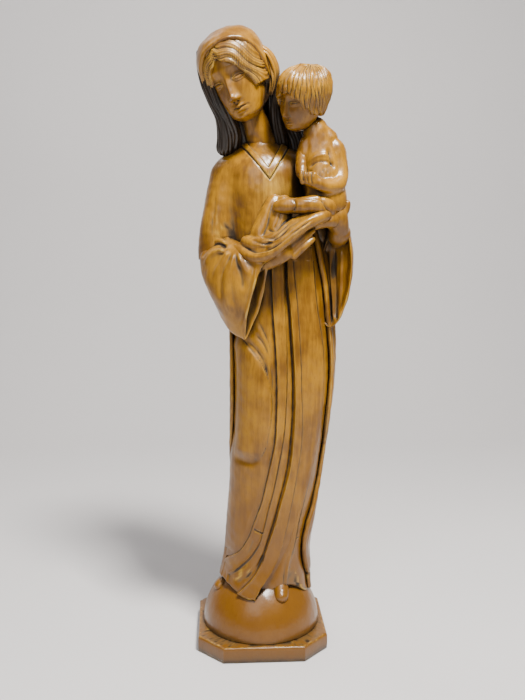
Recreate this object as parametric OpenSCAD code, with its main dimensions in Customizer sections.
// Standing madonna with child, a pieced wood carving on a half globe and an eight-sided plinth.
// Frame: origin at the middle of the plinth's underside, +Z up, the figure faces -Y.
// Left and right in the names are the figure's own, so right_sleeve lies on the -X side.

/* [Plinth] */
// Width of the plinth across its flats
plinth_w = 130; // [110:1:170]
// Height of the plinth
plinth_h = 16; // [12:1:30]
// Length cut off each corner of the plinth, along the side
plinth_corner = 25; // [5:1:45]

/* [Half globe] */
// Radius of the half globe
globe_r = 60; // [50:1:75]

/* [Base screws] */
// Distance between the two screws
screw_spacing = 52; // [30:1:80]
// Diameter of the screw's shank
screw_d = 4; // [3:0.5:6]
// Length of the screw
screw_l = 34; // [25:1:45]
// Diameter of the screw's head
screw_head_d = 8; // [7:0.5:10]
// Height of the screw's head
screw_head_h = 3; // [2:0.5:4]

/* [Gown] */
// How far the hem hangs down over the globe from its top
hem_drape = 24; // [16:1:30]
// Height of the skirt block, from the hem to the joint at the waist
skirt_h = 340; // [260:1:420]
// Width of the skirt at the hem
hem_w = 86; // [70:1:104]
// Depth of the skirt at the hem
hem_d = 88; // [70:1:104]
// Width of the skirt at the hips
hip_w = 96; // [80:1:120]
// Depth of the skirt at the hips
hip_d = 82; // [70:1:110]
// Width at the waist joint
waist_w = 90; // [75:1:110]
// Depth at the waist joint
waist_d = 72; // [60:1:90]
// How far the hips swing towards the child
hip_sway = 20; // [0:1:30]

/* [Bodice] */
// Height of the bodice block, from the waist joint to the neck seat
bodice_h = 108; // [85:1:135]
// Width of the chest
chest_w = 80; // [68:1:98]
// Depth of the chest
chest_d = 70; // [58:1:86]
// Width over the shoulders
shoulder_w = 90; // [75:1:110]
// Width of the collar band
collar_w = 7; // [4:0.5:10]
// Depth of the neckline's point below the neck seat
collar_drop = 34; // [20:1:45]
// How far the collar stands out of the chest
collar_raise = 1.5; // [0.8:0.1:3]

/* [Mantle] */
// Thickness of the mantle
mantle_wall = 5; // [3:0.5:8]

/* [Sleeves] */
// Radius of the upper arm in its sleeve
sleeve_r = 19; // [15:1:24]
// Height of the right cuff's mouth
right_cuff_h = 76; // [60:1:92]
// Height of the left cuff's mouth
left_cuff_h = 94; // [76:1:112]
// Width of a cuff's mouth
cuff_w = 30; // [24:1:36]
// Thickness of the sleeve's cloth at the mouth
sleeve_wall = 4; // [2.5:0.5:6]

/* [Hands] */
// Radius of the wrists
wrist_r = 8; // [6:0.5:10]
// Width of a finger
finger_w = 6.5; // [5:0.5:8]

/* [Head] */
// Height of the head from the chin to the crown
head_h = 82; // [68:1:98]
// Width of the head
head_w = 56; // [46:1:68]
// Depth of the head
head_d = 66; // [54:1:78]
// Height of the head's middle above the neck seat
neck_rise = 61; // [52:1:75]
// Radius of the neck
neck_r = 16; // [12:1:19]
// Lean of the head to its right side, in degrees
head_tilt = 20; // [0:1:30]
// Turn of the head to its right side, in degrees
head_turn = 28; // [0:1:40]
// Nod of the head, in degrees
head_nod = 18; // [0:1:30]
// Thickness of the hair over the head
hair_wall = 3; // [2:0.5:5]
// Thickness of the veil over the hair
veil_wall = 3; // [2:0.5:5]
// Length of the veil below the neck seat
veil_fall = 34; // [15:1:60]

/* [Child] */
// Height of the child's head
child_head_h = 56; // [46:1:66]
// Width of the child's head
child_head_w = 49; // [40:1:58]
// Height of the child's trunk from the seat to the neck
child_trunk_h = 66; // [54:1:78]
// Width of the child's trunk
child_trunk_w = 46; // [38:1:56]
// Radius of the child's arms
child_arm_r = 7.5; // [6:0.5:9]
// Radius of the child's legs
child_leg_r = 9.5; // [8:0.5:12]

/* [Shoes] */
// Width of a shoe
shoe_w = 15; // [11:1:20]

/* [Dowels] */
// Diameter of the dowels that join the blocks
dowel_d = 8; // [6:0.5:10]
// Length of those dowels
dowel_l = 36; // [24:1:44]
// Diameter of the child's dowels
small_dowel_d = 5; // [4:0.5:6]
// Length of the child's dowels
small_dowel_l = 18; // [14:1:24]
// Room round a dowel or a screw in its hole, on the diameter
hole_gap = 0.1; // [0.05:0.05:0.4]

/* [Hidden] */
// Room left for glue between two carved faces
glue = 0.05;
// Sides of a trunk section, of a limb section, and levels between two rows of a trunk
body_n = 40;
limb_n = 16;
body_steps = 3;

// Levels
globe_c = [0, 0, plinth_h];
hem_z = plinth_h + globe_r - hem_drape;
waist_z = hem_z + skirt_h;
neck_z = waist_z + bodice_h;

// Middle of the waist and of the chest from side to side
waist_x = 0.75 * hip_sway;
chest_x = 0.15 * hip_sway;

// Trunk in its clothes: height, middle x, middle y, half width, half depth
body_rows = [
    [hem_z, 3, -1, hem_w / 2, hem_d / 2],
    [hem_z + 0.12 * skirt_h, 4, -1, hem_w / 2 - 3, hem_d / 2 - 5],
    [hem_z + 0.34 * skirt_h, 0.7 * hip_sway, -1, hem_w / 2 - 2, hem_d / 2 - 4],
    [hem_z + 0.66 * skirt_h, hip_sway, -1, hip_w / 2, hip_d / 2],
    [waist_z, waist_x, 0, waist_w / 2, waist_d / 2],
    [waist_z + 0.38 * bodice_h, 0.4 * hip_sway, 1, chest_w / 2, chest_d / 2],
    [waist_z + 0.66 * bodice_h, chest_x, 2, chest_w / 2, chest_d / 2],
    [waist_z + 0.85 * bodice_h, chest_x, 3, shoulder_w / 2 - 4, chest_d / 2 - 4],
    [neck_z - 6, chest_x, 4, shoulder_w / 2 - 16, chest_d / 2 - 12],
    [neck_z, 1, 4, neck_r + 4, neck_r + 3]
];
waist_row = 4;

// Joints of the limbs
right_shoulder = [chest_x - shoulder_w / 2 + 0.7 * sleeve_r, 3, neck_z - 18];
right_elbow = [waist_x - waist_w / 2 - 12, -2, waist_z + 10];
right_wrist = [waist_x - 24, -waist_d / 2 - 17, waist_z - 8];
left_shoulder = [chest_x + shoulder_w / 2 - 0.7 * sleeve_r, 3, neck_z - 18];
left_elbow = [waist_x + waist_w / 2 + 14, 0, waist_z + 10];
left_wrist = [waist_x + waist_w / 2 + 12, -waist_d / 2 + 2, waist_z + 26];
child_seat = [chest_x + chest_w / 2 + child_trunk_w / 2 - 10, -chest_d / 2 + 3, waist_z + 0.46 * bodice_h];
child_neck = child_seat + [-6, 8, child_trunk_h];
child_head_c = child_neck + [-10, -4, 0.46 * child_head_h];
head_c = [chest_x - 26, -12, neck_z + neck_rise];
globe_top = plinth_h + globe_r;

// Places of the vertical dowels, from the middle of their joint
base_dowel_x = [-14, 14];
waist_dowel_x = [-18, 18];

// ---------------------------------------------------------------- helpers

function unit(v) = v / norm(v);

// Power that keeps the sign, for the squarish ovals
function power(x, e) = sign(x) * pow(abs(x), e);

// Slope of rows at row i, from its neighbours
function slope(rows, i) = rows[min(i + 1, len(rows) - 1)] - rows[max(i - 1, 0)];

// Smooth curve through rows[i] and rows[i + 1], u from 0 to 1
function between(rows, i, u) =
    let (a = rows[i], b = rows[i + 1], ra = slope(rows, i) / 2, rb = slope(rows, i + 1) / 2)
    a * (2 * pow(u, 3) - 3 * pow(u, 2) + 1) + ra * (pow(u, 3) - 2 * pow(u, 2) + u)
    + b * (3 * pow(u, 2) - 2 * pow(u, 3)) + rb * (pow(u, 3) - pow(u, 2));

// Rows with steps - 1 more rows between each two
function refine(rows, steps) = [
    for (i = [0:len(rows) - 2], s = [0:steps - 1]) between(rows, i, s / steps),
    rows[len(rows) - 1]
];

// Level section: row is [z, x, y, half width, half depth], grown by grow
function level(row, grow = 0, n = body_n) = [
    for (i = [0:n - 1]) let (a = 360 * i / n)
        [row[1] + (row[3] + grow) * power(cos(a), 0.9), row[2] + (row[4] + grow) * power(sin(a), 0.9), row[0]]
];

// Section with its own axes: row is [middle, first half axis, second half axis]
function oval(row, n = limb_n) = [
    for (i = [0:n - 1]) let (a = 360 * i / n) row[0] + row[1] * cos(a) + row[2] * sin(a)
];

// Sections along a limb: rows are [x, y, z, half across, half thick], up points along the thickness
function limb(rows, up, steps = 3) = let (r = refine(rows, steps), last = len(r) - 1) [
    for (i = [0:last]) let (
        way = unit(spot(r[min(i + 1, last)]) - spot(r[max(i - 1, 0)])),
        across = unit(cross(up, way)),
        thick = cross(way, across)
    ) oval([spot(r[i]), across * r[i][3], thick * r[i][4]])
];
function spot(row) = [row[0], row[1], row[2]];

// Solid through a list of rings that all have the same number of points
module loft(rings) {
    n = len(rings[0]);
    m = len(rings);
    sides = [
        for (j = [0:m - 2], i = [0:n - 1]) let (k = (i + 1) % n)
            [j * n + i, (j + 1) * n + i, (j + 1) * n + k, j * n + k]
    ];
    start = [for (i = [0:n - 1]) i];
    end = [for (i = [n - 1:-1:0]) (m - 1) * n + i];
    polyhedron([for (ring = rings) each ring], concat([start], [end], sides), convexity = 8);
}

// Carved outside of a block: all cuts and joins inside make one skin
module carved() {
    resize([0, 0, 0]) children();
}

// Upright peg, d across, between two heights
module peg(x, y, bottom, top, d) {
    translate([x, y, bottom]) cylinder(d = d, h = top - bottom, $fn = 32);
}

// ---------------------------------------------------------------- base

module base_screw_places() {
    for (side = [-1, 1]) translate([side * screw_spacing / 2, 0, 0]) children();
}

// One wood screw, head down, grown by gap on its diameter
module wood_screw(gap = 0) {
    head_z = 1;
    translate([0, 0, head_z]) cylinder(d = screw_head_d + gap, h = screw_head_h, $fn = 32);
    translate([0, 0, head_z]) cylinder(d = screw_d + gap, h = screw_l, $fn = 32);
}

module base_screws() {
    color("silver") base_screw_places() wood_screw();
}

module plinth() {
    half = plinth_w / 2;
    flat = half - plinth_corner;
    color("sienna") difference() {
        linear_extrude(plinth_h) polygon([
            for (q = [0:3], p = [[half, -flat], [half, flat]])
                [p[0] * cos(90 * q) - p[1] * sin(90 * q), p[0] * sin(90 * q) + p[1] * cos(90 * q)]
        ]);
        base_screw_places() {
            wood_screw(hole_gap);
            translate([0, 0, -1]) cylinder(d = screw_head_d + hole_gap, h = 2.5, $fn = 32);
        }
    }
}

module globe() {
    color("peru") difference() {
        translate(globe_c) intersection() {
            sphere(r = globe_r, $fn = 96);
            translate([-globe_r - 1, -globe_r - 1, 0]) cube([2 * globe_r + 2, 2 * globe_r + 2, globe_r + 1]);
        }
        base_screw_places() wood_screw(hole_gap);
        for (x = base_dowel_x) peg(x, 0, globe_dowel_bottom, globe_top + 1, dowel_d + hole_gap);
    }
}
globe_dowel_bottom = globe_top - 0.55 * dowel_l;

// The globe's skin as the blocks above it are cut to it
module globe_room() {
    translate(globe_c) sphere(r = (globe_r + glue) / cos(180 / 48), $fn = 48);
}

module globe_dowels() {
    color("tan") for (x = base_dowel_x)
        peg(x, 0, globe_dowel_bottom, globe_dowel_bottom + dowel_l, dowel_d);
}

// ---------------------------------------------------------------- gown

module trunk(first, last, grow = 0) {
    rows = refine(body_rows, body_steps);
    loft([for (i = [first * body_steps:last * body_steps]) level(rows[i], grow)]);
}

module whole_trunk() {
    trunk(0, len(body_rows) - 1);
}

module skirt() {
    color("goldenrod") difference() {
        carved() difference() {
            trunk(0, waist_row);
            globe_room();
        }
        for (x = base_dowel_x)
            peg(x, 0, hem_z, globe_dowel_bottom + dowel_l, dowel_d + hole_gap);
        for (x = waist_dowel_x)
            peg(waist_x + x, 0, waist_z - dowel_l / 2, waist_z + 1, dowel_d + hole_gap);
    }
}

module waist_dowels() {
    color("tan") for (x = waist_dowel_x)
        peg(waist_x + x, 0, waist_z - dowel_l / 2, waist_z + dowel_l / 2, dowel_d);
}

// Neckline: the band between two V lines, swept from front to back
module collar_band() {
    outer = collar_drop;
    inner = collar_drop - 1.5 * collar_w;
    spread = 0.72;
    translate([chest_x + 3, 0, neck_z]) rotate([90, 0, 0]) linear_extrude(chest_d) difference() {
        polygon([[0, -outer], [spread * (outer + 9), 9], [-spread * (outer + 9), 9]]);
        polygon([[0, -inner], [spread * (inner + 9), 9.1], [-spread * (inner + 9), 9.1]]);
    }
}

module bodice() {
    last = len(body_rows) - 1;
    color("goldenrod") difference() {
        carved() union() {
            trunk(waist_row, last);
            intersection() {
                trunk(waist_row, last - 1, collar_raise);
                collar_band();
            }
        }
        for (x = waist_dowel_x)
            peg(waist_x + x, 0, waist_z - 1, waist_z + dowel_l / 2, dowel_d + hole_gap);
        neck_hole();
        shoulder_holes();
        child_back_hole();
    }
}

// Mantle: a wall round the back of the trunk, from the hem to under the shoulders.
// It stands on the trunk's own facets, counted round from the +X side.
module mantle_shell() {
    first = -4;
    last = 21;
    rows = refine(body_rows, body_steps);
    top_row = (len(body_rows) - 3) * body_steps - 1;
    function arc(row, grow, turns) = [
        for (i = turns) let (a = 360 * i / body_n)
            [row[1] + (row[3] + grow) * power(cos(a), 0.9), row[2] + (row[4] + grow) * power(sin(a), 0.9), row[0]]
    ];
    loft([for (i = [0:top_row]) concat(
        arc(rows[i], mantle_wall, [first:last]), arc(rows[i], glue, [last:-1:first])
    )]);
}

module mantle() {
    color("darkgoldenrod") difference() {
        carved() difference() {
            mantle_shell();
            globe_room();
        }
        shoulder_holes();
        child_back_hole();
    }
}

// Height of the globe's skin at a distance from its axis
function globe_height(r) = plinth_h + sqrt(max(0, globe_r * globe_r - r * r));

// Toes of the shoes: x, y and turn
shoe_toes = [[0.4 * hem_w / 2, -0.94 * hem_d / 2, 14], [-0.88 * hem_w / 2, -0.45 * hem_d / 2, -50]];

// Two low solid shoes under the hem, on the globe
module shoes() {
    color("saddlebrown") carved() difference() {
        for (toe = shoe_toes) translate([toe[0], toe[1], globe_height(norm([toe[0], toe[1]])) + 7])
            rotate([0, 0, toe[2]])
            loft(limb([
                [0, 22, 8, 0.35 * shoe_w, 4],
                [0, 10, 4, 0.5 * shoe_w, 7],
                [0, -2, 0, 0.5 * shoe_w, 6],
                [0, -9, -4, 0.3 * shoe_w, 3.5]
            ], [0, 0, 1]));
        globe_room();
        trunk(0, waist_row);
    }
}

// ---------------------------------------------------------------- sleeves and hands

// Bell of a sleeve: from is its closed end, to the middle of its mouth, both with their own axes
function bell(from, to, wall) = [
    for (u = [0:0.125:1]) let (
        swell = sin(90 * min(1, 0.35 + u)),
        mid = from[0] * (1 - u) + to[0] * u,
        a = from[1] * (1 - u) + to[1] * u,
        b = from[2] * (1 - u) + to[2] * u
    ) oval([mid, (a - unit(a) * wall) * swell, (b - unit(b) * wall) * swell], 24)
];

// Mouths of the cuffs: middle, half axis across, half axis down the cloth
right_cuff = [
    right_wrist + [0, 6, 8 - right_cuff_h / 2],
    [0.75, 0.66, 0] * 0.5 * cuff_w, [0.26, -0.18, 0.95] * 0.5 * right_cuff_h
];
right_bag = [
    right_elbow + [-2, 2, -8],
    [0.75, 0.66, 0] * 0.7 * cuff_w, [0, 0, 1] * 0.5 * right_cuff_h
];
left_cuff = [
    left_elbow + [-2, -24, 20 - left_cuff_h / 2],
    [0.92, 0.38, 0] * 0.6 * cuff_w, [-0.05, 0.05, 1] * 0.5 * left_cuff_h
];
left_bag = [
    left_elbow + [0, 6, -7],
    [0.95, 0.3, 0] * 0.8 * cuff_w, [0, 0, 1] * 0.5 * left_cuff_h
];

module right_sleeve_outside() {
    loft(limb([
        concat(right_shoulder + [4, 0, 8], [0.5 * sleeve_r, 0.6 * sleeve_r]),
        concat(right_shoulder, [0.85 * sleeve_r, 0.95 * sleeve_r]),
        concat((right_shoulder + right_elbow) / 2 + [-3, 0, 4], [0.95 * sleeve_r, sleeve_r]),
        concat(right_elbow + [1, 0, 4], [sleeve_r, sleeve_r]),
        concat(right_elbow + [3, -2, -16], [0.8 * sleeve_r, 0.8 * sleeve_r])
    ], [0, -1, 0]));
    loft(bell(right_bag, right_cuff, 0));
}

module left_sleeve_outside() {
    loft(limb([
        concat(left_shoulder + [-4, 0, 8], [0.5 * sleeve_r, 0.6 * sleeve_r]),
        concat(left_shoulder, [0.85 * sleeve_r, 0.95 * sleeve_r]),
        concat((left_shoulder + left_elbow) / 2 + [2, 0, 4], [0.85 * sleeve_r, sleeve_r]),
        concat(left_elbow + [-2, 0, 4], [0.8 * sleeve_r, sleeve_r]),
        concat(left_elbow + [-4, -2, -14], [0.6 * sleeve_r, 0.8 * sleeve_r])
    ], [0, -1, 0]));
    loft(bell(left_bag, left_cuff, 0));
}

// Hollow of a bell, open at its mouth
module bell_room(bag, cuff) {
    way = unit(cuff[0] - bag[0]);
    start = [bag[0] * 0.45 + cuff[0] * 0.55, bag[1] * 0.5 + cuff[1] * 0.5, bag[2] * 0.5 + cuff[2] * 0.5];
    end = [cuff[0] + way * 2, cuff[1], cuff[2]];
    loft(bell(start, end, sleeve_wall));
}

module right_sleeve() {
    color("goldenrod") difference() {
        carved() difference() {
            right_sleeve_outside();
            bell_room(right_bag, right_cuff);
            whole_trunk();
            mantle_shell();
        }
        shoulder_holes();
    }
}

module left_sleeve() {
    color("goldenrod") difference() {
        carved() difference() {
            left_sleeve_outside();
            bell_room(left_bag, left_cuff);
            whole_trunk();
            mantle_shell();
        }
        shoulder_holes();
        child_back_hole();
    }
}

// Level pegs through the trunk's sides into the upper sleeves
shoulder_peg_z = neck_z - 36;
module shoulder_peg(side, d) {
    half = chest_w / 2;
    translate([chest_x + side * (half + 0.25 * dowel_l), 3, shoulder_peg_z]) rotate([0, -90 * side, 0])
        cylinder(d = d, h = 0.75 * dowel_l, $fn = 32);
}

module shoulder_holes() {
    for (side = [-1, 1]) shoulder_peg(side, dowel_d + hole_gap);
}

module shoulder_dowels() {
    color("tan") for (side = [-1, 1]) shoulder_peg(side, dowel_d);
}

// Four fingers side by side, from the knuckle towards reach, spread over the width
module fingers(knuckle, reach, side, bend) {
    for (k = [0:3]) let (
        start = knuckle + side * (k - 1.5) * finger_w * 0.92,
        tip = start + reach * (1 - 0.08 * abs(k - 1.2))
    ) loft(limb([
        concat(start, [0.5 * finger_w, 0.5 * finger_w]),
        concat((start + tip) / 2 + bend, [0.5 * finger_w, 0.5 * finger_w]),
        concat(tip, [0.3 * finger_w, 0.3 * finger_w])
    ], [0, 0.3, 1], 2));
}

module right_hand_outside() {
    palm = right_wrist + [24, -5, 14];
    loft(limb([
        concat((right_bag[0] + right_cuff[0]) / 2 + [0, 0, 0.3 * right_cuff_h], [wrist_r, wrist_r]),
        concat(right_wrist + [-9, 9, -2], [wrist_r, wrist_r]),
        concat(right_wrist, [wrist_r, 0.9 * wrist_r]),
        concat(right_wrist + [12, -4, 8], [1.2 * wrist_r, 0.75 * wrist_r]),
        concat(palm, [1.35 * wrist_r, 0.7 * wrist_r])
    ], [0, -1, 0.3]));
    fingers(palm - [4, 0, 2], [26, 0, 14], [0.45, 0, -0.9], [0, -2, 0]);
}

module right_hand() {
    color("darkgoldenrod") carved() difference() {
        right_hand_outside();
        right_sleeve_walls();
        child_legs_outside();
        whole_trunk();
    }
}

module right_sleeve_walls() {
    difference() {
        right_sleeve_outside();
        bell_room(right_bag, right_cuff);
    }
}

module left_sleeve_walls() {
    difference() {
        left_sleeve_outside();
        bell_room(left_bag, left_cuff);
    }
}

module left_hand() {
    palm = left_wrist + [-8, -5, 22];
    color("darkgoldenrod") carved() difference() {
        union() {
            loft(limb([
                concat((left_bag[0] + left_cuff[0]) / 2, [wrist_r, wrist_r]),
            concat(left_wrist + [2, 8, -16], [wrist_r, wrist_r]),
                concat(left_wrist, [wrist_r, 0.9 * wrist_r]),
                concat(left_wrist + [-5, -3, 12], [1.3 * wrist_r, 0.8 * wrist_r]),
                concat(palm, [1.2 * wrist_r, 0.7 * wrist_r])
            ], [0, -1, 0]));
            fingers(palm - [0, 0, 3], [-16, -4, 12], [0.5, 0, 0.86], [2, -2, 2]);
        }
        left_sleeve_walls();
        whole_trunk();
        mantle_shell();
        child_trunk();
        child_legs_outside();
        child_left_arm_outside();
    }
}

// ---------------------------------------------------------------- head

module at_head() {
    translate(head_c) rotate([head_nod, -head_tilt, -head_turn]) children();
}

// Egg of a head with its chin forward: shares of its height, width and depth, grown by grow
module egg(h, w, d, grow = 0) {
    rows = [
        [-0.50, -0.24, 0.14, 0.10],
        [-0.44, -0.20, 0.27, 0.22],
        [-0.24, -0.09, 0.42, 0.39],
        [0.02, -0.01, 0.49, 0.48],
        [0.26, 0.03, 0.47, 0.47],
        [0.43, 0.04, 0.30, 0.31],
        [0.50, 0.04, 0.09, 0.10]
    ];
    scaled = [for (r = rows) [r[0] * (h + 2 * grow), 0, r[1] * d, r[2] * w + grow, r[3] * d + grow]];
    loft([for (r = refine(scaled, 2)) level(r, 0, 24)]);
}

module neck() {
    loft(limb([
        [2, 5, neck_z - 8, neck_r, neck_r],
        [-4, 1, neck_z + 0.3 * neck_rise, 0.9 * neck_r, 0.95 * neck_r],
        concat(head_c + [2, 6, -8], [0.8 * neck_r, 0.9 * neck_r])
    ], [0, 1, 0]));
}

module head() {
    color("goldenrod") difference() {
        carved() difference() {
            union() {
                at_head() egg(head_h, head_w, head_d);
                neck();
            }
            whole_trunk();
        }
        neck_hole();
    }
}

module neck_hole() {
    peg(0, 4, neck_z - dowel_l / 2, neck_z + dowel_l / 2, dowel_d + hole_gap);
}

module neck_dowel() {
    color("tan") peg(0, 4, neck_z - dowel_l / 2, neck_z + dowel_l / 2, dowel_d);
}

// Room in front of the face, in the head's own frame
module face_room(reach) {
    translate([0, -0.5 * head_d - 6, -0.12 * head_h]) scale([1, 1, 1.25])
        rotate([-90, 0, 0]) cylinder(r = 0.42 * head_w, h = reach, $fn = 32);
}

module hair_outside() {
    at_head() difference() {
        egg(head_h, head_w, head_d, hair_wall);
        face_room(0.62 * head_d);
        translate([0, 0, -head_h]) cube([2 * head_w, 0.1 * head_d, head_h], center = true);
    }
    // Long hair on both sides of the neck
    loft(limb([
        concat(head_c + [-24, 0, 6], [6, 12]),
        concat(head_c + [-22, 6, -24], [8, 14]),
        [-30, 6, neck_z + 8, 12, 14],
        [-33, 6, neck_z - 8, 8, 9]
    ], [0, -1, 0]));
    loft(limb([
        concat(head_c + [26, 6, 0], [5, 12]),
        concat(head_c + [34, 10, -26], [10, 12]),
        [24, 12, neck_z + 6, 12, 12],
        [28, 12, neck_z - 8, 8, 8]
    ], [0, -1, 0]));
}

module hair() {
    color("saddlebrown") carved() difference() {
        hair_outside();
        at_head() egg(head_h, head_w, head_d);
        neck();
        whole_trunk();
        mantle_shell();
        right_sleeve_outside();
        left_sleeve_outside();
    }
}

// Lean of the veil's front rim from the head's own upright, in degrees
veil_lean = 22;

module veil_outside() {
    at_head() difference() {
        egg(head_h, head_w, head_d, hair_wall + veil_wall);
        rotate([veil_lean, 0, 0]) translate([0, -head_d, 0])
            cube([2 * head_w, 1.7 * head_d, 3 * head_h], center = true);
        translate([0, -0.2 * head_d, -0.6 * head_h])
            cube([2 * head_w, head_d, 0.8 * head_h], center = true);
    }
    // Fall of the veil behind the neck and over the shoulders
    loft([for (r = refine([
        [neck_z - veil_fall, chest_x, 24, 0.34 * shoulder_w, 20],
        [neck_z, chest_x - 2, 22, 0.36 * shoulder_w, 17],
        [neck_z + 30, chest_x - 8, 22, 0.36 * shoulder_w, 17],
        [neck_z + neck_rise + 8, head_c[0] + 2, 14, 0.3 * shoulder_w, 16]
    ], 3)) level(r, 0, 28)]);
}

module veil() {
    color("peru") carved() difference() {
        veil_outside();
        hair_outside();
        at_head() egg(head_h, head_w, head_d);
        neck();
        whole_trunk();
        mantle_shell();
        right_sleeve_outside();
        left_sleeve_outside();
    }
}

// ---------------------------------------------------------------- child

module child_trunk() {
    w = child_trunk_w / 2;
    loft(limb([
        concat(child_seat + [2, 0, -8], [0.6 * w, 0.5 * w]),
        concat(child_seat, [w, 0.85 * w]),
        concat((child_seat + child_neck) / 2 + [2, -2, 0], [0.9 * w, 0.8 * w]),
        concat(child_neck + [1, 0, -10], [0.85 * w, 0.6 * w]),
        concat(child_neck, [0.4 * w, 0.4 * w]),
        concat(child_neck + [-3, -1, 8], [0.38 * w, 0.38 * w])
    ], [0, -1, 0]));
}

module child_skull() {
    translate(child_head_c) rotate([8, 6, -38]) egg(child_head_h, child_head_w, child_head_w * 1.06);
}

module child_body() {
    color("goldenrod") difference() {
        carved() difference() {
            child_trunk();
            whole_trunk();
            mantle_shell();
            left_sleeve_outside();
        }
        child_back_hole();
        child_neck_hole();
    }
}

module child_head() {
    color("peru") difference() {
        carved() difference() {
            child_skull();
            child_trunk();
        }
        child_neck_hole();
    }
}

// Level way from the middle of the mother's chest to the child, and where it leaves her chest
chest_mid = [chest_x, 2, child_seat[2] + 0.35 * child_trunk_h];
child_way = unit([child_seat[0] - 3, child_seat[1] + 4, chest_mid[2]] - chest_mid);
chest_reach = 1 / norm([child_way[0] / (chest_w / 2), child_way[1] / (chest_d / 2)]);

// Level peg from the mother's chest into the child's side, and upright peg in the child's neck
module child_back_peg(d) {
    translate(chest_mid + child_way * (chest_reach - small_dowel_l / 2))
        rotate([0, 90, atan2(child_way[1], child_way[0])]) cylinder(d = d, h = small_dowel_l, $fn = 32);
}

module child_neck_peg(d) {
    translate(child_neck + [-4, -1, 8 - small_dowel_l / 2]) cylinder(d = d, h = small_dowel_l, $fn = 32);
}

module child_back_hole() {
    child_back_peg(small_dowel_d + hole_gap);
}

module child_neck_hole() {
    child_neck_peg(small_dowel_d + hole_gap);
}

module child_dowels() {
    color("tan") {
        child_back_peg(small_dowel_d);
        child_neck_peg(small_dowel_d);
    }
}

module child_left_arm_outside() {
    r = child_arm_r;
    shoulder = child_neck + [15, -6, -14];
    elbow = child_seat + [19, -10, 16];
    hand = child_seat + [-24, -22, 22];
    loft(limb([
        concat(shoulder + [-4, 2, 4], [0.6 * r, 0.6 * r]),
        concat(shoulder, [1.1 * r, 1.1 * r]),
        concat(elbow + [0, 0, 14], [r, r]),
        concat(elbow, [r, r]),
        concat(elbow + [-14, -8, -5], [0.95 * r, 0.95 * r]),
        concat(hand + [10, -1, -6], [0.85 * r, 0.85 * r]),
        concat(hand, [0.8 * r, 0.6 * r]),
        concat(hand + [-6, 0, 10], [0.5 * r, 0.4 * r])
    ], [0.3, -1, 0.2]));
}

module child_left_arm() {
    color("darkgoldenrod") carved() difference() {
        child_left_arm_outside();
        child_trunk();
        whole_trunk();
    }
}

// The child's right palm lies on the mother's chest
child_right_palm = [chest_x + 0.26 * chest_w, -0.46 * chest_d, child_neck[2] - 40];

module child_right_arm() {
    r = child_arm_r;
    color("darkgoldenrod") carved() difference() {
        loft(limb([
            concat(child_neck + [-14, 2, -14], [0.6 * r, 0.6 * r]),
            concat(child_neck + [-18, -2, -20], [r, r]),
            concat(child_neck + [-22, -10, -32], [0.9 * r, 0.9 * r]),
            concat(child_right_palm + [5, -2, 3], [0.85 * r, 0.8 * r]),
            concat(child_right_palm, [0.7 * r, 0.7 * r])
        ], [0.3, 1, 0.2]));
        child_trunk();
        child_left_arm_outside();
        whole_trunk();
        mantle_shell();
    }
}

module child_legs_outside() {
    r = child_leg_r;
    loft(limb([
        concat(child_seat + [6, -6, -4], [1.1 * r, 1.1 * r]),
        concat(child_seat + [-10, -18, -1], [1.15 * r, 1.15 * r]),
        concat(child_seat + [-26, -22, 0], [r, r]),
        concat(child_seat + [-38, -20, 2], [0.8 * r, 0.8 * r]),
        concat(child_seat + [-50, -18, 4], [0.6 * r, 0.7 * r])
    ], [0, 0, 1]));
    loft(limb([
        concat(child_seat + [5, -7, -13], [1.1 * r, r]),
        concat(child_seat + [-12, -24, -17], [0.95 * r, 0.9 * r]),
        concat(child_seat + [-34, -24, -22], [0.7 * r, 0.7 * r])
    ], [0, 0, 1]));
}

module child_legs() {
    color("goldenrod") carved() difference() {
        child_legs_outside();
        child_trunk();
        child_left_arm_outside();
        whole_trunk();
        left_sleeve_outside();
    }
}

// Cloth under the child, over the mother's hand and down across her front
module drape() {
    color("peru") carved() difference() {
        loft(limb([
            concat(child_seat + [4, -8, -20], [7, 7]),
            concat(child_seat + [-14, -20, -26], [9, 9]),
            concat(child_seat + [-40, -18, -30], [12, 18]),
            concat(child_seat + [-60, -8, -36], [12, 24]),
            concat(child_seat + [-78, 0, -46], [8, 16])
        ], [0, 0, 1]));
        child_legs_outside();
        child_trunk();
        right_sleeve_outside();
        left_sleeve_outside();
        whole_trunk();
        right_hand_outside();
    }
}

plinth();
globe();
base_screws();
globe_dowels();
shoes();
skirt();
mantle();
waist_dowels();
bodice();
shoulder_dowels();
right_sleeve();
left_sleeve();
right_hand();
left_hand();
neck_dowel();
head();
hair();
veil();
drape();
child_dowels();
child_body();
child_head();
child_left_arm();
child_right_arm();
child_legs();
